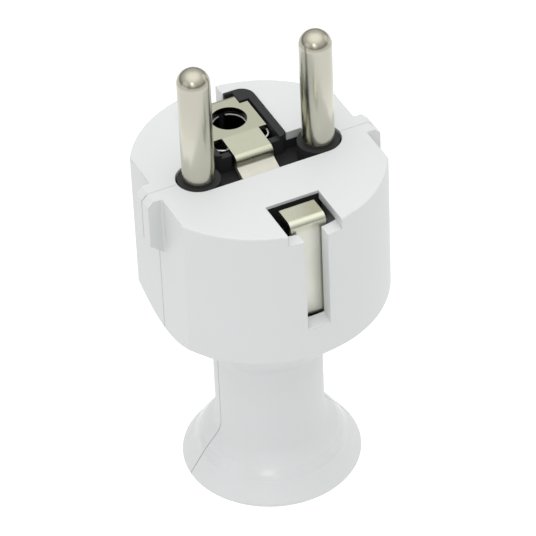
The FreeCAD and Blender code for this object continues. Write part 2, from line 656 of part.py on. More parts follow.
def pin_carrier():
    """The black insert: plate, collars, frame, pocket and the sleeve for the earth pin."""
    long_half = d.carrier_length / 2
    wide_half = d.carrier_width / 2
    plate = prism("carrier_plate", "XY", [
        (-long_half, -wide_half, d.carrier_round), (long_half, -wide_half, d.carrier_round),
        (long_half, wide_half, d.carrier_round), (-long_half, wide_half, d.carrier_round),
    ], carrier_bottom, carrier_top)
    well = stadium("carrier_well", d.recess_width, d.pin_spacing, well_floor, above)
    tower = prism("carrier_frame", "XY", [
        (-frame_half, frame_front, d.frame_front_round), (frame_half, frame_front, d.frame_front_round),
        (frame_half, frame_rear, d.frame_round), (-frame_half, frame_rear, d.frame_round),
    ], carrier_bottom, frame_top)
    sleeve = rod("carrier_sleeve", d.sleeve_dia, 0, earth_y, (top - d.sleeve_depth, carrier_bottom))
    collars = mirrored_pair(
        lambda side, x: rod(f"{side}_collar", d.collar_dia, x, 0, (well_floor, collar_top)), pin_x)
    front_gap = d.strap_width / 2 + d.strap_fit
    apron_half = rebate_half - d.frame_fit
    apron_front = d.strap_fit - d.opening_rear
    apron = box("apron_wall", (-apron_half, apron_half), (apron_front, apron_front + d.apron_thickness),
                (top - d.apron_depth, top - d.lip_thickness - d.strap_fit))
    middle = (front_gap + apron_half) / 2
    cheek = (apron_half - front_gap) / 2
    cheeks = mirrored_pair(
        lambda side, x: box(f"{side}_cheek", (x - cheek, x + cheek), (apron_front, OVERRUN - wide_half),
                            (carrier_bottom, carrier_top)), middle)
    tray = cut("carrier_tray", plate, [well])
    solid = fuse("carrier_solid", [tray, tower, sleeve, apron] + collars + cheeks)
    pocket = d.pocket_width / 2
    rear_gap = d.strap_rear_width / 2 + d.strap_fit
    leg_inside = strap_rear - d.strap_thickness - d.strap_fit
    leg_outside = strap_rear + d.strap_fit
    relief = d.strap_bend / 2
    run_floor = top - d.run_drop - d.strap_thickness - 2 * d.strap_fit
    step_floor = top - d.step_drop - d.strap_thickness - 3 * d.strap_fit
    step_front = earth_y - d.strap_step_ahead - d.strap_thickness
    cutters = mirrored_pair(
        lambda side, x: rod(f"{side}_pin_hole", d.shank_dia + d.pin_fit, x, 0,
                            (carrier_bottom - OVERRUN, above)), pin_x)
    cutters += [
        box("spring_pocket", (-pocket, pocket), (pocket_front, pocket_rear), (pocket_floor, above)),
        box("front_wall_top", (-pocket, pocket), (frame_front - OVERRUN, pocket_front + OVERRUN),
            (top - d.front_wall_drop, above)),
        prism("strap_gap", "YZ", [
            (apron_front + d.apron_thickness, above), (apron_front + d.apron_thickness, run_floor),
            (-d.run_end, run_floor), (step_front, step_floor), (pocket_front + OVERRUN, step_floor),
            (pocket_front + OVERRUN, above),
        ], -front_gap, front_gap),
        box("strap_rest", (-rear_gap, rear_gap), (pocket_rear - OVERRUN, leg_outside),
            (strap_under, above)),
        box("contact_channel", (-rear_gap, rear_gap), (leg_inside, leg_outside),
            (carrier_bottom - OVERRUN, above)),
        prism("bend_relief", "YZ", [
            (leg_inside - relief, strap_under), (strap_rear - strap_half, strap_under),
            (strap_rear - strap_half, strap_under - relief - strap_rear + strap_half + leg_inside),
        ], -rear_gap, rear_gap),
        box("contact_window", (-slot_half, slot_half), (leg_inside, frame_rear + OVERRUN),
            (carrier_bottom - OVERRUN, above)),
        rod("earth_bore", d.earth_hole_dia, 0, earth_y,
            (top - d.sleeve_depth + d.sleeve_floor, above)),
    ]
    return cut("pin_carrier", solid, cutters)


def pin(side, x):
    """A turned pin with a domed end, a shoulder under the carrier and a pillar terminal."""
    end = carrier_bottom - d.pillar_length
    tip = top + d.pin_length
    wire = d.wire_bore_dia / 2
    body = turned_body(f"{side}_pin_body", [
        (0, end + d.wire_bore_depth), (wire, end + d.wire_bore_depth), (wire, end),
        (pillar_radius, end), (pillar_radius, carrier_bottom), (d.shank_dia / 2, carrier_bottom),
        (d.shank_dia / 2, collar_top), (d.root_dia / 2, collar_top),
        (pin_radius, frame_top + d.root_rise), (pin_radius, tip, pin_radius - d.tip_flat / 2), (0, tip),
    ])
    place(body, x)
    hole = rod(f"{side}_terminal_thread", d.terminal_screw_dia + d.screw_fit, x,
               (0, pillar_radius + OVERRUN), terminal_z)
    return cut(f"{side}_pin", body, [hole])


def earth_strap():
    """One folded strip: rear contact, top with the earth hole, step, run and front leg."""
    rear = strap_rear - strap_half
    high = strap_top - strap_half
    flat_end = earth_y - d.strap_wide_ahead
    run_high = top - d.step_drop - strap_half
    run_low = top - d.run_drop - strap_half
    leg = -d.strap_leg - strap_half
    step = earth_y - d.strap_step_ahead - strap_half
    bow = rear + d.contact_bow
    half = d.strap_wide / 2
    strip = folded("strap_strip", "YZ", [
        (bow, top - d.contact_end), (bow, top - d.contact_full, d.strap_bend),
        (rear, top - d.contact_start, d.strap_bend), (rear, high, d.strap_bend),
        (flat_end, high, d.strap_bend), (step, high - d.strap_fall, d.step_bend),
        (step, run_high, d.run_bend), (-d.run_end, run_low, d.strap_bend), (leg, run_low, d.strap_bend),
        (leg, top - d.strap_leg_depth + strap_half),
    ], d.strap_thickness, -half, half)
    low = top - d.strap_leg_depth - 2 * OVERRUN
    cutters = []
    for side, sign in (("left", -1), ("right", 1)):
        for name, width, y in (("front", d.strap_width, (-d.body_dia, flat_end)),
                               ("rear", d.strap_rear_width, (strap_wide_rear, d.body_dia))):
            edges = (sign * width / 2, sign * (half + OVERRUN))
            limits = edges if sign > 0 else edges[::-1]
            cutters.append(box(f"strap_{name}_{side}", limits, y, (low, above)))
    cutters += [
        rod("earth_hole", d.earth_hole_dia, 0, earth_y, (strap_under - OVERRUN, above)),
        rod("strap_screw_hole", d.earth_screw_dia + d.screw_clear, 0,
            (-leg_front - OVERRUN, OVERRUN - d.strap_leg), earth_z),
    ]
    return cut("earth_strap", strip, cutters)


def front_earth_clip():
    """The folded contact: head, face in the slot, bottom run and the foot on the strap's leg."""
    face = clip_half - clip_face
    head = top - d.head_drop - clip_half
    low = top - d.clip_depth + clip_half
    foot = -leg_front - clip_half
    strip = folded("clip_strip", "YZ", [
        (d.head_length - clip_face, head), (face, head, d.head_bend),
        (face, low, d.strap_bend), (foot, low, d.strap_bend), (foot, top - d.clip_foot_top),
    ], d.clip_thickness, -d.clip_width / 2, d.clip_width / 2)
    hole = rod("clip_screw_hole", d.earth_screw_dia + d.screw_clear, 0,
               (-leg_front - d.clip_thickness - OVERRUN, OVERRUN - leg_front), earth_z)
    return cut("front_earth_clip", strip, [hole])


def earth_pin_spring():
    """A strip on edge: a loop round the earth pin, open at the rear, with a wide front."""
    half = d.spring_thickness / 2
    loop = d.spring_bore / 2 + half
    wide = d.spring_width / 2 - half
    front = earth_y - d.spring_ahead + half
    neck = earth_y - d.spring_neck
    flare = earth_y - d.spring_flare
    small = d.spring_thickness * 1.5
    low, high = pocket_floor, top - d.spring_drop
    right = [
        (loop, earth_y), (loop, neck, small), (wide, flare, small), (wide, front, d.spring_round),
    ]
    left = [(-corner[0],) + corner[1:] for corner in reversed(right)]
    arms = folded("spring_arms", "XY", right + left, d.spring_thickness, low, high)
    far = d.body_dia / 2
    gap = d.spring_gap / 2
    outer = rod("loop_outside", d.spring_bore + 2 * d.spring_thickness, 0, earth_y, (low, high))
    ring = cut("spring_loop", outer, [
        rod("loop_inside", d.spring_bore, 0, earth_y, (low - OVERRUN, high + OVERRUN)),
        box("loop_front", (-far, far), (-far, earth_y), (low - OVERRUN, high + OVERRUN)),
        box("loop_gap", (-gap, gap), (earth_y, far), (low - OVERRUN, high + OVERRUN)),
    ])
    return fuse("earth_pin_spring", [arms, ring])


def earth_terminal():
    """Screw, clamp washer and square nut that join the strap, the clip and the earth wire."""
    half = d.washer_width / 2
    seat = d.washer_thickness - d.strap_leg
    block = box("washer_block", (-half, half), (-d.strap_leg, seat), (earth_z - half, earth_z + half))
    clear = rod("washer_hole", d.earth_screw_dia + d.screw_clear, 0,
                (-d.strap_leg - OVERRUN, seat + OVERRUN), earth_z)
    washer = cut("earth_clamp_washer", block, [clear])
    half = d.nut_width / 2
    front = -leg_front - d.clip_thickness
    block = box("nut_block", (-half, half), (front - d.nut_thickness, front), (earth_z - half, earth_z + half))
    thread = rod("nut_thread", d.earth_screw_dia + d.screw_fit, 0,
                 (front - d.nut_thickness - OVERRUN, front + OVERRUN), earth_z)
    nut = cut("earth_terminal_nut", block, [thread])
    stack = d.washer_thickness + d.strap_thickness + d.clip_thickness + d.nut_thickness
    return [washer, nut, screw("earth_terminal_screw", 0, seat, earth_z, d.earth_screw_dia, stack,
                               d.earth_screw_head)]


def cord_clamp():
    """The arched bar that holds the cord's sheath, on two posts of the front shell."""
    arch = d.clamp_arch
    crown = arch + d.clamp_thickness
    wing = d.clamp_wing
    thick = d.clamp_thickness
    inner_round = arch - thick / 4
    bar = prism("clamp_bar", "XY", [
        (-wing, 0), (-arch, 0), (-arch, arch, inner_round), (arch, arch, inner_round), (arch, 0),
        (wing, 0), (wing, thick), (crown, thick), (crown, crown, inner_round + thick),
        (-crown, crown, inner_round + thick), (-crown, thick), (-wing, thick),
    ], clamp_z - d.clamp_width / 2, clamp_z + d.clamp_width / 2)
    holes = boss_pair("clamp_hole", d.screw_dia + d.screw_clear, clamp_x, (-OVERRUN, thick + OVERRUN), clamp_z)
    return cut("cord_clamp", bar, holes)


# Screws of one kind: name, place across, height, seat from the parting plane, shank length
SHELL_SCREWS = [
    ("housing_screw", housing_x, housing_z, d.housing_seat, d.housing_screw_length),
    ("cord_clamp_screw", clamp_x, clamp_z, d.clamp_thickness, d.clamp_screw_length),
]


def shell_screws():
    screws = []
    for name, x, z, seat, length in SHELL_SCREWS:
        screws += mirrored_pair(
            lambda side, at: screw(f"{side}_{name}", at, seat, z, d.screw_dia, length, d.screw_head_dia), x)
    return screws


def housing_insert(side, x):
    """A threaded sleeve, pressed into a boss of the front shell, for a housing screw."""
    sleeve = rod(f"{side}_insert_sleeve", d.insert_dia, x, (-d.insert_length, 0), housing_z)
    thread = rod(f"{side}_insert_thread", d.screw_dia + d.screw_fit, x,
                 (-d.insert_length - OVERRUN, OVERRUN), housing_z)
    return cut(f"{side}_housing_insert", sleeve, [thread])


def terminal_screws():
    return mirrored_pair(
        lambda side, x: screw(f"{side}_terminal_screw", x, pillar_radius, terminal_z, d.terminal_screw_dia,
                              d.terminal_screw_length, d.terminal_screw_head), pin_x)


def build():
    outside = shell_outside()
    hollow_shell = cut("hollow_shell", outside, [shell_inside()])
    pieces = [front_half(outside, hollow_shell), rear_half(outside, hollow_shell), pin_carrier()]
    pieces += mirrored_pair(pin, pin_x)
    pieces += [earth_strap(), front_earth_clip(), earth_pin_spring()]
    pieces += earth_terminal() + terminal_screws()
    pieces += [cord_clamp()] + shell_screws() + mirrored_pair(housing_insert, housing_x)
    doc.recompute()
    return pieces


def check(pieces):
    """Stop if any feature failed or any piece isn't one sound solid."""
    for thing in doc.Objects:
        if "Invalid" in thing.State or "Error" in thing.State:
            raise RuntimeError(f"{thing.Name} failed: {thing.State}")
    for piece in pieces:
        shape = piece.Shape
        if shape.isNull() or not shape.isValid() or len(shape.Solids) != 1:
            raise RuntimeError(f"{piece.Label} is not one valid solid")


pieces = build()
check(pieces)
os.makedirs("parts", exist_ok=True)
for piece in pieces:
    piece.Shape.exportStep(f"parts/{piece.Label}.step")
    print(f"{piece.Label}: {piece.Shape.Volume:.1f} mm3")
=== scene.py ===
import math

import bmesh
import bpy
from bpy.props import FloatProperty, FloatVectorProperty, IntProperty, PointerProperty
from bpy.types import Operator, Panel, PropertyGroup
from mathutils import Matrix, Vector


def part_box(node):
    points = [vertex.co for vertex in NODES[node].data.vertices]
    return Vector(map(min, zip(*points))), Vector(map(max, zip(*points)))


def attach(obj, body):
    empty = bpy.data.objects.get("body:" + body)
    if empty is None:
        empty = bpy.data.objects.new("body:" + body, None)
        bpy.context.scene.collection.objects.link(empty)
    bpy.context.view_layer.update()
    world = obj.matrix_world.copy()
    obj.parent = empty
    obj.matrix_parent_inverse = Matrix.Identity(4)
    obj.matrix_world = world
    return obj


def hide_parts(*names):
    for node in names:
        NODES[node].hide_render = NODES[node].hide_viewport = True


bl_info = {
    "name": "Earthed plug",
    "version": (1, 0, 0),
    "blender": (4, 5, 0),
    "location": "View3D > Sidebar > Plug",
    "description": "Dresses the earthed plug with a pull grip: plastics, plating, screws and studio",
    "category": "Object",
}

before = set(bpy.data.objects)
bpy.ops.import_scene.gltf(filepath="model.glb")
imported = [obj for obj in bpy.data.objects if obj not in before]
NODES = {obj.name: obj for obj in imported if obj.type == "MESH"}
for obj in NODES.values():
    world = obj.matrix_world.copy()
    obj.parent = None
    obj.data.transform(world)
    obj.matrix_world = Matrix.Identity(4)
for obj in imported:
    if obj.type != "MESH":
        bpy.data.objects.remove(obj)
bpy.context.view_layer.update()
MM = 0.001
BODY = "root"

# Pieces that share a finish
SHELLS = ("front_shell", "rear_shell")
MOULDED_BLACK = ("pin_carrier", "cord_clamp")
PINS = ("left_pin", "right_pin")
SCREW_NODES = (
    "left_housing_screw", "right_housing_screw", "left_cord_clamp_screw", "right_cord_clamp_screw",
    "left_terminal_screw", "right_terminal_screw", "earth_terminal_screw",
)
INSERTS = ("left_housing_insert", "right_housing_insert")

# Height of the rubbed edge round the foot
FOOT_BREAK = 4.2 * MM

# The slots for the earth contacts, as in the CAD
SLOT_HALF = 1.8 * MM
SLOT_DEPTH = 17.9 * MM

# The strap round the earth hole, as in the CAD
EARTH_Y = 10.0 * MM
HOLE_RADIUS = 2.65 * MM
NOTCH_AHEAD = 3.85 * MM
STRAP_HALF = 2.95 * MM

# Added roughness of the strips below their upper faces
STRAP_DULL = 0.3
CLIP_DULL = 0.12

# Dark colour of the seams, and painted shade on the strap's hole and notch walls and on the spring below
# its upper edge
SEAM_SHADE = (0.10, 0.10, 0.10)
EDGE_SHADE = (0.06, 0.045, 0.035)
LOOP_SHADE = (0.05, 0.04, 0.03)

# Screws, as in the CAD
HEAD_HEIGHT = 1.8 * MM
EARTH_SHANK = 1.75 * MM
TERMINAL_SHANK = 1.5 * MM
PLAIN_SHANK = 1.45 * MM
CROSS_SPAN = 2.6 * MM
CROSS_WIDTH = 0.8 * MM
CROSS_DEPTH = 0.9 * MM
SMOOTH_UNDER = math.radians(40)

# Lamps: name, place, size and power
LAMPS = (
    ("softbox_front", (-0.30, -0.44, 0.46), 0.2, 0.26),
    ("softbox_low", (-0.26, -0.53, 0.315), 0.3, 0.15),
    ("softbox_left", (-0.9, -0.1, 0.25), 0.7, 0.56),
    ("softbox_right", (0.9, 0.0, 0.25), 0.7, 0.75),
)
LAMPS_AIM = (0, 0, 0.04)

# Floor's half width, and its drop below the foot so that the two faces stay apart
FLOOR_HALF = 3.0
FLOOR_DROP = 0.03 * MM


class PlasticLooks(PropertyGroup):
    """Colours and surface of the moulded pieces."""

    shell_colour: FloatVectorProperty(
        name="Shell colour", description="White of the two half-shells", subtype="COLOR",
        size=3, min=0, max=1, default=(0.588, 0.606, 0.606))
    black_colour: FloatVectorProperty(
        name="Black colour", description="Black of the pin carrier and the cord clamp", subtype="COLOR",
        size=3, min=0, max=1, default=(0.021, 0.0215, 0.0225))
    edge_round: FloatProperty(
        name="Edge round", description="Radius that moulding leaves on an edge", unit="LENGTH",
        default=0.14 * MM, precision=5)
    seam_width: FloatProperty(
        name="Seam width", description="Width of the line where the half-shells meet", unit="LENGTH",
        default=0.11 * MM, precision=5)
    grain_size: FloatProperty(
        name="Grain size", description="Size of the moulded grain", unit="LENGTH",
        default=0.35 * MM, precision=5)


class MetalLooks(PropertyGroup):
    """Colours and surface of the plated pieces."""

    pin_colour: FloatVectorProperty(
        name="Pin colour", description="Nickel plating of the pins", subtype="COLOR",
        size=3, min=0, max=1, default=(0.52, 0.508, 0.435))
    dome_colour: FloatVectorProperty(
        name="Dome colour", description="Nickel plating of the pins' ends", subtype="COLOR",
        size=3, min=0, max=1, default=(0.40, 0.385, 0.315))
    strap_colour: FloatVectorProperty(
        name="Strap colour", description="Nickel plating of the strap's flat", subtype="COLOR",
        size=3, min=0, max=1, default=(0.435, 0.443, 0.343))
    # Painted light: the strap's run is given a paler colour than its flat
    strap_low_painted_light: FloatVectorProperty(
        name="Strap's low colour", description="Nickel plating of the strap's run", subtype="COLOR",
        size=3, min=0, max=1, default=(0.64, 0.625, 0.56))
    clip_colour: FloatVectorProperty(
        name="Clip colour", description="Nickel plating of the clip's head", subtype="COLOR",
        size=3, min=0, max=1, default=(0.505, 0.51, 0.412))
    # Painted light: the clip's face is given a paler colour than its head
    clip_low_painted_light: FloatVectorProperty(
        name="Clip's low colour", description="Nickel plating of the clip's face", subtype="COLOR",
        size=3, min=0, max=1, default=(0.70, 0.70, 0.635))
    zinc_colour: FloatVectorProperty(
        name="Zinc colour", description="Zinc plating of screws and inserts", subtype="COLOR",
        size=3, min=0, max=1, default=(0.60, 0.61, 0.60))
    spring_colour: FloatVectorProperty(
        name="Spring colour", description="Bright steel of the spring in the earth hole", subtype="COLOR",
        size=3, min=0, max=1, default=(0.92, 0.92, 0.89))
    pin_roughness: FloatProperty(
        name="Pin roughness", description="Gloss of the pins, lower is glossier", min=0, max=1,
        default=0.22)
    strip_roughness: FloatProperty(
        name="Strip roughness", description="Gloss of the folded strips", min=0, max=1, default=0.27)


class ScrewSizes(PropertyGroup):
    """Shape of the screws' threads and heads."""

    pitch: FloatProperty(
        name="Thread pitch", description="Distance from crest to crest", unit="LENGTH",
        default=0.9 * MM, precision=5)
    thread_depth: FloatProperty(
        name="Thread depth", description="Crest above the root", unit="LENGTH",
        default=0.32 * MM, precision=5)
    facets: IntProperty(
        name="Facets", description="Facets round a screw", min=12, max=96, default=40)


class StageLooks(PropertyGroup):
    """Camera and light."""

    azimuth: FloatProperty(
        name="Azimuth", description="Camera's direction round the plug", subtype="ANGLE",
        default=math.radians(-24.24))
    elevation: FloatProperty(
        name="Elevation", description="Camera's height over the horizon", subtype="ANGLE",
        default=math.radians(39.77))
    roll: FloatProperty(
        name="Roll", description="Camera's turn about its own axis", subtype="ANGLE",
        default=math.radians(-2.58))
    distance: FloatProperty(
        name="Distance", description="Camera to the point that it looks at", unit="LENGTH",
        default=565.8 * MM, precision=4)
    aim: FloatVectorProperty(
        name="Aim", description="Point that the camera looks at", unit="LENGTH", size=3,
        default=(0.655 * MM, 0.0, 35.13 * MM), precision=5)
    lens: FloatProperty(name="Lens", description="Focal length in millimetres", default=259.4)
    floor_colour: FloatVectorProperty(
        name="Floor colour", description="Pale studio floor", subtype="COLOR", size=3, min=0, max=1,
        default=(0.1, 0.1, 0.1))
    floor_glow: FloatProperty(
        name="Floor glow", description="Light that comes through the floor", min=0, default=1.01)
    air: FloatProperty(name="Room light", description="Even light from all round", min=0, default=0.93)
    horizon: FloatProperty(
        name="Horizon", description="Share of the room light that is left at the horizon", min=0, max=1,
        default=0.3)
    zenith: FloatProperty(
        name="Zenith", description="Light from above as a share of the room light", min=0, default=2.07)
    light: FloatProperty(name="Light", description="Scales every lamp", min=0, default=1.0)


class Reading:
    """A shader socket that takes part in Python expressions. Each operation adds a Math node."""

    def __init__(self, finish, socket):
        self.finish = finish
        self.socket = socket

    def _math(self, operation, *terms):
        return self.finish.node("ShaderNodeMath", {"operation": operation}, list(terms))

    def __add__(self, other):
        return self._math("ADD", self, other)

    __radd__ = __add__

    def __sub__(self, other):
        return self._math("SUBTRACT", self, other)

    def __rsub__(self, other):
        return self._math("SUBTRACT", other, self)

    def __mul__(self, other):
        return self._math("MULTIPLY", self, other)

    def __abs__(self):
        return self._math("ABSOLUTE", self)

    def maximum(self, other):
        return self._math("MAXIMUM", self, other)

    def root(self):
        return self._math("SQRT", self)


class Finish:
    """The node tree of one material, or of the studio's air."""

    def __init__(self, owner, shader, place, **constants):
        owner.use_nodes = True
        self.owner = owner
        self.tree = owner.node_tree
        self.shader = next(n for n in self.tree.nodes if n.type == shader)
        for socket, value in constants.items():
            self.shader.inputs[socket.replace("_", " ")].default_value = value
        self.place = self.node("ShaderNodeTexCoord", output=place)

    @classmethod
    def of(cls, name, **constants):
        return cls(bpy.data.materials.new(name), "BSDF_PRINCIPLED", "Object", **constants)

    def node(self, kind, settings=None, inputs=None, output=0):
        """Add a node, set it up, feed its sockets by number or name, and give one output."""
        node = self.tree.nodes.new(kind)
        for name, value in (settings or {}).items():
            setattr(node, name, value)
        pairs = inputs.items() if isinstance(inputs, dict) else enumerate(inputs or [])
        for key, value in pairs:
            if isinstance(value, Reading):
                self.tree.links.new(value.socket, node.inputs[key])
            else:
                node.inputs[key].default_value = value
        return Reading(self, node.outputs[output])

    def feed(self, **readings):
        """Link readings to the shader's sockets."""
        for socket, reading in readings.items():
            self.tree.links.new(reading.socket, self.shader.inputs[socket.replace("_", " ")])

    def axis(self, letter):
        return self.node("ShaderNodeSeparateXYZ", inputs=[self.place], output=letter)

    def stretched(self, x, y, z):
        """The place with each axis scaled, for marks that run one way."""
        return self.node("ShaderNodeVectorMath", {"operation": "MULTIPLY"}, [self.place, (x, y, z)])

    def noise(self, size, place=None, detail=3.0, roughness=0.5):
        """Soft noise from 0 to 1 with marks of a given size in metres."""
        inputs = {"Vector": place or self.place, "Scale": 1.0 / size, "Detail": detail,
                  "Roughness": roughness}
        return self.node("ShaderNodeTexNoise", inputs=inputs, output="Fac")

    def ease(self, reading, low, high, start=0.0, end=1.0):
        """A soft change from start to end between two readings."""
        inputs = {"Value": reading, "From Min": low, "From Max": high, "To Min": start, "To Max": end}
        return self.node("ShaderNodeMapRange", {"interpolation_type": "SMOOTHSTEP"}, inputs)

    def blend(self, share, first, second):
        """Mix two colours."""
        inputs = {0: share, 6: rgba(first), 7: rgba(second)}
        return self.node("ShaderNodeMix", {"data_type": "RGBA"}, inputs, output=2)

    def rounded_edges(self, radius):
        return self.node("ShaderNodeBevel", {"samples": 6}, {"Radius": radius})

    def bump(self, height, distance, normal=None, strength=1.0):
        inputs = {"Height": height, "Distance": distance, "Strength": strength}
        if normal:
            inputs["Normal"] = normal
        return self.node("ShaderNodeBump", inputs=inputs)


def rgba(colour):
    return colour if isinstance(colour, Reading) else (*colour[:3], 1.0)


def top_of(node):
    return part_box(node)[1][2]


def paint(names, finish):
    """Give CAD nodes a finish in place of their plain one."""
    for name in names:
        mesh = NODES[name].data
        mesh.materials.clear()
        mesh.materials.append(finish.owner)


def shell_plastic(looks):
    """Satin white moulding with the dark line where the halves meet, and painted light that makes the
    inside of its slots paler.
    """
    finish = Finish.of("shell_plastic", IOR=1.5)
    half = looks.seam_width / 2
    top = top_of("front_shell")
    open_edge = finish.ease(finish.axis("Z"), top - 0.25 * MM, top - 0.05 * MM, 1.0, 0.25)
    seam = finish.ease(abs(finish.axis("Y")), half * 0.4, half * 1.6, 1.0, 0.0) * open_edge
    drift = finish.noise(9 * MM, detail=2.0)
    grain = finish.noise(looks.grain_size, detail=4.0, roughness=0.6)
    white = looks.shell_colour
    warm = finish.blend(drift, white, [c * t for c, t in zip(white, (0.985, 0.985, 0.975))])
    # Painted light: the walls and floor inside the slots are made paler than the rest of the shell
    in_slot = finish.ease(abs(finish.axis("X")), SLOT_HALF + 0.02 * MM, SLOT_HALF + 0.05 * MM, 1.0, 0.0)
    ahead = finish.ease(abs(finish.axis("Y")), 12 * MM, 13 * MM)
    slot_end = top - SLOT_DEPTH
    above = finish.ease(finish.axis("Z"), slot_end + 0.01 * MM, slot_end + 0.04 * MM)
    with_painted_slot_light = finish.blend(in_slot * ahead * above, warm, [c * 1.17 for c in white])
    rubbed = finish.ease(abs(finish.axis("Z") - FOOT_BREAK), 0.2 * MM, 1.3 * MM, 1.0, 0.0)
    finish.feed(
        Base_Color=finish.blend(seam * 0.72, with_painted_slot_light, SEAM_SHADE),
        Roughness=0.4 + grain * 0.07 + seam * 0.3 - rubbed * 0.27,
        Normal=finish.bump(1.0 - seam, 0.06 * MM, finish.rounded_edges(looks.edge_round), 0.5),
    )
    return finish


def carrier_plastic(looks):
    """Black moulding with a fine matt grain and a faint cloud."""
    finish = Finish.of("carrier_plastic", IOR=1.22)
    grain = finish.noise(looks.grain_size * 0.7, detail=4.0, roughness=0.6)
    cloud = finish.noise(5 * MM, detail=2.0)
    black = looks.black_colour
    finish.feed(
        Base_Color=finish.blend(cloud * 0.5, black, [c * 1.6 for c in black]),
        Roughness=0.34 + grain * 0.14,
        Normal=finish.bump(grain, 0.02 * MM, finish.rounded_edges(looks.edge_round), 0.5),
    )
    return finish


def turned_nickel(looks):
    """Plating over fine turning marks, with small pits, and painted light that makes it paler towards the
    plug.
    """
    finish = Finish.of("turned_nickel", Metallic=1.0)
    tip = top_of("left_pin")
    rings = finish.noise(0.12 * MM, finish.stretched(0.03, 0.03, 1.0), detail=3.0)
    pits = finish.ease(finish.noise(0.16 * MM, detail=2.0), 0.62, 0.78)
    haze = finish.noise(2.5 * MM, detail=3.0)
    # Painted light: the pin is made paler from 5 to 14 mm below its tip
    painted_light_near_base = finish.ease(finish.axis("Z"), tip - 5 * MM, tip - 14 * MM)
    nickel = looks.pin_colour
    plain = finish.blend(painted_light_near_base, nickel, [c * 1.2 for c in nickel])
    clouded = finish.blend(haze * 0.5 + pits * 0.25, plain, [c * 0.92 for c in nickel])
    dome = finish.ease(finish.axis("Z"), tip - 2.2 * MM, tip - 1.7 * MM)
    finish.feed(
        Base_Color=finish.blend(dome, clouded, looks.dome_colour),
        Roughness=(looks.pin_roughness - 0.05) + rings * 0.04 + haze * 0.06,
        Normal=finish.bump(rings, 0.002 * MM, finish.rounded_edges(0.08 * MM), 0.2),
    )
    return finish


def rolled_nickel(name, top, upper, lower, roughness, dull, shade_mask=None):
    """Satin plated sheet, duller below its upper face, where painted light makes it paler, with painted
    shade on the walls that the given mask picks.
    """
    finish = Finish.of(name, Metallic=1.0)
    haze = finish.noise(3 * MM, detail=2.0)
    # Painted light: below its upper face the sheet takes the paler lower colour
    below = finish.ease(finish.axis("Z"), top - 2.4 * MM, top - 1.0 * MM, 1.0, 0.0)
    colour = finish.blend(haze * 0.4, finish.blend(below, upper, lower), [c * 0.96 for c in upper])
    # Painted shade: the walls that the mask picks take the dark edge colour
    if shade_mask:
        colour = finish.blend(shade_mask(finish), colour, EDGE_SHADE)
    finish.feed(
        Base_Color=colour,
        Roughness=(roughness - 0.02) + haze * 0.05 + below * dull,
        Normal=finish.rounded_edges(0.06 * MM),
    )
    return finish


def shaded_strap_walls(finish):
    """Where the painted shade goes on the strap: the sides of the earth hole and of the notches ahead of
    it.
    """
    across = abs(finish.axis("X"))
    along = finish.axis("Y") - EARTH_Y
    top = top_of("earth_strap")
    level = finish.ease(finish.axis("Z"), top - 1.0 * MM, top - 0.9 * MM)
    reach = (across * across + along * along).root()
    hole = finish.ease(reach, HOLE_RADIUS + 0.01 * MM, HOLE_RADIUS + 0.04 * MM, 1.0, 0.0)
    notch = finish.ease(along + NOTCH_AHEAD, 0.01 * MM, 0.04 * MM, 1.0, 0.0)
    beside = finish.ease(across, STRAP_HALF + 0.02 * MM, STRAP_HALF + 0.05 * MM)
    return level * hole.maximum(notch * beside)


def zinc_plate(looks):
    """Greyer zinc plating with a clouded gloss, for screws and inserts."""
    finish = Finish.of("zinc_plate", Metallic=1.0)
    haze = finish.noise(0.8 * MM, detail=5.0, roughness=0.6)
    zinc = looks.zinc_colour
    finish.feed(
        Base_Color=finish.blend(haze, zinc, [c * 0.82 for c in zinc]),
        Roughness=0.26 + haze * 0.16,
        Normal=finish.bump(haze, 0.006 * MM, finish.rounded_edges(0.06 * MM), 0.4),
    )
    return finish


def spring_steel(looks):
    """Bright upper edge and painted shade on the sides, for the spring round the earth pin."""
    finish = Finish.of("spring_steel", Metallic=1.0)
    haze = finish.noise(1.5 * MM, detail=2.0)
    top = top_of("earth_pin_spring")
    # Painted shade: below its upper edge the spring takes a dark colour
    rim = finish.ease(finish.axis("Z"), top - 0.3 * MM, top - 0.1 * MM)
    steel = looks.spring_colour
    bright = finish.blend(haze, steel, [c * 0.94 for c in steel])
    finish.feed(
        Base_Color=finish.blend(rim, LOOP_SHADE, bright),
        Roughness=0.32 + haze * 0.06,
        Normal=finish.rounded_edges(0.15 * MM),
    )
    return finish


def ring(mesh, radius, height, facets):
    turns = [math.tau * i / facets for i in range(facets)]
    return [mesh.verts.new((radius * math.cos(t), radius * math.sin(t), height)) for t in turns]


def skin(mesh, rings):
    """Close the space between each ring and the next with quads."""
    for lower, upper in zip(rings, rings[1:]):
        count = len(lower)
        for i in range(count):
            j = (i + 1) % count
            mesh.faces.new((lower[i], lower[j], upper[j], upper[i]))


def threaded_shank(mesh, sizes, radius, length):
    """A shank whose radius follows a helix, pointed a little at its end."""
    steps = max(8, int(length / sizes.pitch * 12))
    facets = sizes.facets
    rings = []
    for step in range(steps + 1):
        height = -length + length * step / steps
        taper = min(1.0, 0.62 + (height + length) / (1.6 * sizes.pitch))
        fade = min(1.0, -height / sizes.pitch)
        row = []
        for i in range(facets):
            phase = (height / sizes.pitch - i / facets) % 1.0
            crest = max(0.0, 1.0 - abs(phase - 0.5) * 3.2)
            reach = radius - sizes.thread_depth * (1.0 - crest * fade)
            turn = math.tau * i / facets
            place = (reach * taper * math.cos(turn), reach * taper * math.sin(turn), height)
            row.append(mesh.verts.new(place))
        rings.append(row)
    skin(mesh, rings)
    mesh.faces.new(list(reversed(rings[0])))
    return rings[-1]


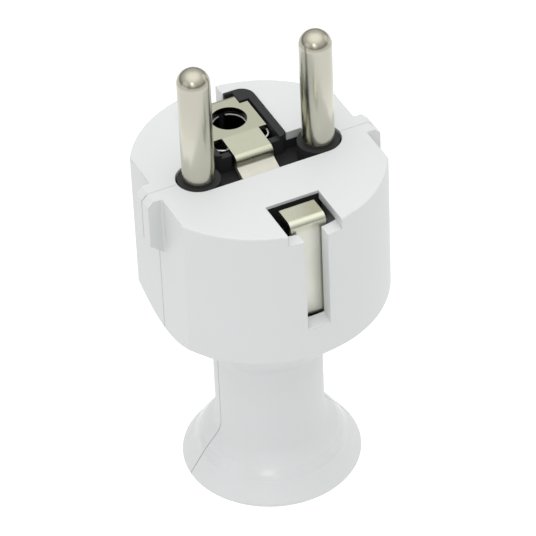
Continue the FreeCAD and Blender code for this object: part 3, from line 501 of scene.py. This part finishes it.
def screw_head(mesh, neck, radius, height, facets):
    """A pan head with a small land under it and a rounded crown, open at the top."""
    edge = height * 0.5
    rings = [neck, ring(mesh, radius * 0.97, 0.0, facets), ring(mesh, radius, 0.03 * MM, facets),
             ring(mesh, radius, height - edge, facets)]
    for step in range(1, 7):
        turn = math.pi / 2 * step / 6
        rings.append(ring(mesh, radius - edge * (1 - math.cos(turn)), height - edge + edge * math.sin(turn),
                          facets))
    skin(mesh, rings)
    mesh.faces.new(rings[-1])


def cross_cutter(span, width, depth, height):
    """The tapered cross that a driver leaves in a head."""
    mesh = bmesh.new()
    for turn in (0.0, math.pi / 2):
        levels = []
        for scale, level in ((1.0, height + 0.4 * MM), (1.0, height), (0.45, height - depth)):
            half = span / 2 * scale
            side = width / 2 * (0.55 + 0.45 * scale)
            corners = [(-half, -side), (half, -side), (half, side), (-half, side)]
            spin = Matrix.Rotation(turn, 2)
            levels.append([mesh.verts.new((*(spin @ Vector(c)), level)) for c in corners])
        skin(mesh, list(reversed(levels)))
        mesh.faces.new(levels[0])
        mesh.faces.new(list(reversed(levels[-1])))
    bmesh.ops.recalc_face_normals(mesh, faces=mesh.faces)
    return mesh


def as_object(name, mesh, finish=None):
    data = bpy.data.meshes.new(name)
    mesh.to_mesh(data)
    mesh.free()
    if finish:
        data.materials.append(finish.owner)
    thing = bpy.data.objects.new(name, data)
    bpy.context.scene.collection.objects.link(thing)
    return thing


def carve(thing, cutter):
    """Take the cutter's shape out of a piece for good and drop the cutter."""
    step = thing.modifiers.new("recess", "BOOLEAN")
    step.operation = "DIFFERENCE"
    step.solver = "EXACT"
    step.use_self = True
    step.object = cutter
    graph = bpy.context.evaluated_depsgraph_get()
    carved = bpy.data.meshes.new_from_object(thing.evaluated_get(graph))
    thing.modifiers.clear()
    plain = thing.data
    carved.name = plain.name
    thing.data = carved
    bpy.data.meshes.remove(plain)
    cutter_mesh = cutter.data
    bpy.data.objects.remove(cutter)
    bpy.data.meshes.remove(cutter_mesh)


def make_screw(node, sizes, finish):
    """A threaded screw with a cross recess in the place of its CAD solid, head to the rear."""
    low, high = (Vector(corner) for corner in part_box(node))
    head_radius = (high.x - low.x) / 2
    seat = high.y - HEAD_HEIGHT
    length = seat - low.y
    shank_radius = PLAIN_SHANK
    if "terminal" in node:
        shank_radius = EARTH_SHANK if node.startswith("earth") else TERMINAL_SHANK
    mesh = bmesh.new()
    neck = threaded_shank(mesh, sizes, shank_radius, length)
    screw_head(mesh, neck, head_radius, HEAD_HEIGHT, sizes.facets)
    bmesh.ops.recalc_face_normals(mesh, faces=mesh.faces)
    thing = as_object(f"{node}_threaded", mesh, finish)
    cross = cross_cutter(CROSS_SPAN, CROSS_WIDTH, CROSS_DEPTH, HEAD_HEIGHT)
    carve(thing, as_object("driver_cross", cross))
    thing.data.transform(Matrix.Rotation(-math.pi / 2, 4, "X"))
    thing.location = ((low.x + high.x) / 2, seat, (low.z + high.z) / 2)
    thing.data.shade_smooth()
    thing.data.set_sharp_from_angle(angle=SMOOTH_UNDER)
    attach(thing, BODY)
    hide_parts(node)


class PLUG_OT_shells(Operator):
    """Finish the two white half-shells"""

    bl_idname = "plug.shells"
    bl_label = "Half-shells"

    def execute(self, context):
        paint(SHELLS, shell_plastic(context.scene.plug_plastic))
        return {"FINISHED"}


class PLUG_OT_black_mouldings(Operator):
    """Finish the black pin carrier and the cord clamp"""

    bl_idname = "plug.black_mouldings"
    bl_label = "Black mouldings"

    def execute(self, context):
        paint(MOULDED_BLACK, carrier_plastic(context.scene.plug_plastic))
        return {"FINISHED"}


class PLUG_OT_pins(Operator):
    """Finish the two turned pins"""

    bl_idname = "plug.pins"
    bl_label = "Pins"

    def execute(self, context):
        paint(PINS, turned_nickel(context.scene.plug_metal))
        return {"FINISHED"}


class PLUG_OT_earth_strips(Operator):
    """Finish the folded earth strap, the front clip and their terminal"""

    bl_idname = "plug.earth_strips"
    bl_label = "Earth strips"

    def execute(self, context):
        looks = context.scene.plug_metal
        gloss = looks.strip_roughness
        strap = rolled_nickel("strap_nickel", top_of("earth_strap"), looks.strap_colour,
                              looks.strap_low_painted_light, gloss, STRAP_DULL, shaded_strap_walls)
        clip = rolled_nickel("clip_nickel", top_of("front_earth_clip"), looks.clip_colour,
                             looks.clip_low_painted_light, gloss, CLIP_DULL)
        paint(("earth_strap",), strap)
        paint(("front_earth_clip", "earth_clamp_washer", "earth_terminal_nut"), clip)
        return {"FINISHED"}


class PLUG_OT_spring(Operator):
    """Finish the spring that grips the earth pin"""

    bl_idname = "plug.spring"
    bl_label = "Earth pin spring"

    def execute(self, context):
        paint(("earth_pin_spring",), spring_steel(context.scene.plug_metal))
        return {"FINISHED"}


class PLUG_OT_screws(Operator):
    """Make every screw with its thread and cross recess"""

    bl_idname = "plug.screws"
    bl_label = "Screws"

    def execute(self, context):
        finish = zinc_plate(context.scene.plug_metal)
        paint(INSERTS, finish)
        for node in SCREW_NODES:
            make_screw(node, context.scene.plug_screws, finish)
        return {"FINISHED"}


def aim_at(thing, spot, roll=0.0):
    """Point a lamp or camera at a spot."""
    back = (thing.location - Vector(spot)).normalized()
    right = Vector((0, 0, 1)).cross(back)
    right = right.normalized() if right.length > 1e-6 else Vector((1, 0, 0))
    up = back.cross(right)
    turned_right = math.cos(roll) * right + math.sin(roll) * up
    turned_up = math.cos(roll) * up - math.sin(roll) * right
    rows = [(turned_right[i], turned_up[i], back[i]) for i in range(3)]
    thing.rotation_euler = Matrix(rows).to_euler()


def lamp(name, place, size, power):
    """A soft round lamp that looks at the plug."""
    data = bpy.data.lights.new(name, "AREA")
    data.shape = "DISK"
    data.size = size
    data.energy = power
    thing = bpy.data.objects.new(name, data)
    bpy.context.scene.collection.objects.link(thing)
    thing.location = place
    aim_at(thing, LAMPS_AIM)


def studio_floor(looks):
    """A pale floor that is lit from below."""
    mesh = bmesh.new()
    bmesh.ops.create_grid(mesh, x_segments=1, y_segments=1, size=FLOOR_HALF)
    paper = Finish.of("studio_paper", Roughness=0.9, Emission_Color=(1.0, 1.0, 1.0, 1.0),
                      Emission_Strength=looks.floor_glow * looks.light)
    fibre = paper.noise(4 * MM, detail=3.0)
    pale = looks.floor_colour
    paper.feed(Base_Color=paper.blend(fibre, pale, [c * 0.995 for c in pale]))
    floor = as_object("studio_floor", mesh, paper)
    floor.location.z = -FLOOR_DROP


def studio_air(looks):
    """Soft light from all round, weaker at the horizon and stronger from above."""
    air = Finish(bpy.data.worlds.new("studio_air"), "BACKGROUND", "Generated",
                 Strength=looks.air * looks.light)
    rise = air.axis("Z")
    low = air.blend(air.ease(rise, 0.02, 0.5), [looks.horizon] * 3, (1.0, 1.0, 1.0))
    air.feed(Color=air.blend(air.ease(rise, 0.5, 1.0), low, [looks.zenith] * 3))
    return air.owner


def photo_camera(looks):
    """A camera at the photograph's viewing angle."""
    data = bpy.data.cameras.new("photo_camera")
    data.sensor_width = 36.0
    data.lens = looks.lens
    data.clip_start = 0.01
    camera = bpy.data.objects.new("photo_camera", data)
    bpy.context.scene.collection.objects.link(camera)
    flat = math.cos(looks.elevation)
    back = Vector((math.sin(looks.azimuth) * flat, -math.cos(looks.azimuth) * flat,
                   math.sin(looks.elevation)))
    camera.location = Vector(looks.aim) + back * looks.distance
    aim_at(camera, looks.aim, looks.roll)
    return camera


class PLUG_OT_stage(Operator):
    """Set up the pale floor, the soft lamps and the camera"""

    bl_idname = "plug.stage"
    bl_label = "Studio"

    def execute(self, context):
        looks = context.scene.plug_stage
        studio_floor(looks)
        context.scene.world = studio_air(looks)
        for name, place, size, power in LAMPS:
            lamp(name, place, size, power * looks.light)
        context.scene.camera = photo_camera(looks)
        context.scene.view_settings.view_transform = "Standard"
        return {"FINISHED"}


STEPS = (PLUG_OT_shells, PLUG_OT_black_mouldings, PLUG_OT_pins, PLUG_OT_earth_strips, PLUG_OT_spring,
         PLUG_OT_screws, PLUG_OT_stage)


class PLUG_PT_sidebar(Panel):
    """The plug's steps and what can be changed"""

    bl_idname = "PLUG_PT_sidebar"
    bl_label = "Earthed plug"
    bl_space_type = "VIEW_3D"
    bl_region_type = "UI"
    bl_category = "Plug"

    def draw(self, context):
        for step in STEPS:
            self.layout.operator(step.bl_idname)
        for name in GROUPS:
            group = getattr(context.scene, name)
            box = self.layout.box()
            for prop in group.bl_rna.properties:
                if prop.identifier not in {"rna_type", "name"}:
                    box.prop(group, prop.identifier)


GROUPS = {"plug_plastic": PlasticLooks, "plug_metal": MetalLooks, "plug_screws": ScrewSizes,
          "plug_stage": StageLooks}


def register():
    for group in GROUPS.values():
        bpy.utils.register_class(group)
    for name, group in GROUPS.items():
        setattr(bpy.types.Scene, name, PointerProperty(type=group))
    for cls in (*STEPS, PLUG_PT_sidebar):
        bpy.utils.register_class(cls)


def unregister():
    for cls in reversed((*STEPS, PLUG_PT_sidebar)):
        bpy.utils.unregister_class(cls)
    for name, group in reversed(GROUPS.items()):
        delattr(bpy.types.Scene, name)
        bpy.utils.unregister_class(group)


def main():
    register()
    bpy.ops.plug.shells()
    bpy.ops.plug.black_mouldings()
    bpy.ops.plug.pins()
    bpy.ops.plug.earth_strips()
    bpy.ops.plug.spring()
    bpy.ops.plug.screws()
    bpy.ops.plug.stage()


if __name__ == "__main__":
    main()
